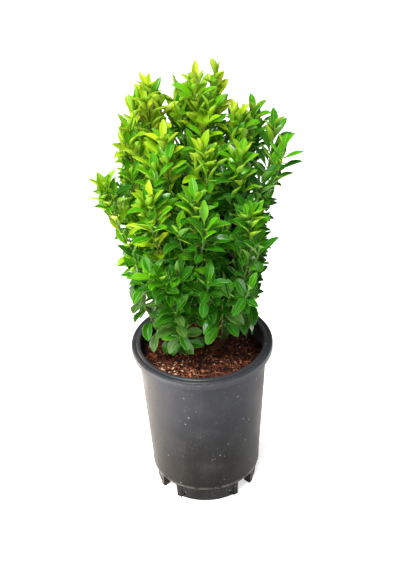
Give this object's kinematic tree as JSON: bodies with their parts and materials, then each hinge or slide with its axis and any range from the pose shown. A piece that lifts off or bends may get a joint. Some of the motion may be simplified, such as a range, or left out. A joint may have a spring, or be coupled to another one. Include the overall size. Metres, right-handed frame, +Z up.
{
  "type": "potted spindle shrub",
  "caption": "Small evergreen spindle shrub with dense upright leafy shoots, growing in a tall tapered plastic nursery pot of potting mix.",
  "frame": {"origin": "on the ground under the middle of the crown and pot", "axes": "+Z up along the pot's axis, -Y towards the side the picture shows, +X to its right"},
  "size_m": [0.24, 0.2156, 0.585],
  "materials": {
    "pot_plastic": "dusty charcoal plastic with a soft sheen",
    "potting_mix": "loose fibrous brown mix",
    "bark": "grey-brown bark, green on young wood",
    "leaves": "glossy leaf green, yellow-green at the shoot tips"
  },
  "bodies": {
    "root": {"bough_01": "bark", "bough_02": "bark", "bough_03": "bark", "bough_04": "bark", "bough_05": "bark", "bough_06": "bark", "bough_07": "bark", "bough_08": "bark", "bough_09": "bark", "bough_10": "bark", "bough_11": "bark", "bough_12": "bark", "bough_13": "bark", "bough_14": "bark", "bough_15": "bark", "bough_16": "bark", "bough_17": "bark", "bough_18": "bark", "bough_19": "bark", "bough_20": "bark", "foliage_01": "leaves", "foliage_02": "leaves", "foliage_03": "leaves", "foliage_04": "leaves", "foliage_05": "leaves", "foliage_06": "leaves", "foliage_07": "leaves", "foliage_08": "leaves", "foliage_09": "leaves", "foliage_10": "leaves", "foliage_11": "leaves", "foliage_12": "leaves", "foliage_13": "leaves", "foliage_14": "leaves", "foliage_15": "leaves", "foliage_16": "leaves", "foliage_17": "leaves", "foliage_18": "leaves", "foliage_19": "leaves", "foliage_20": "leaves", "low_foliage_1": "leaves", "low_foliage_2": "leaves", "low_foliage_3": "leaves", "low_foliage_4": "leaves", "low_foliage_5": "leaves", "low_foliage_6": "leaves", "low_foliage_7": "leaves", "low_foliage_8": "leaves", "pot": "pot_plastic", "soil": "potting_mix", "stem_1": "bark", "stem_2": "bark", "stem_3": "bark", "stem_4": "bark"}
  },
  "joints": []
}
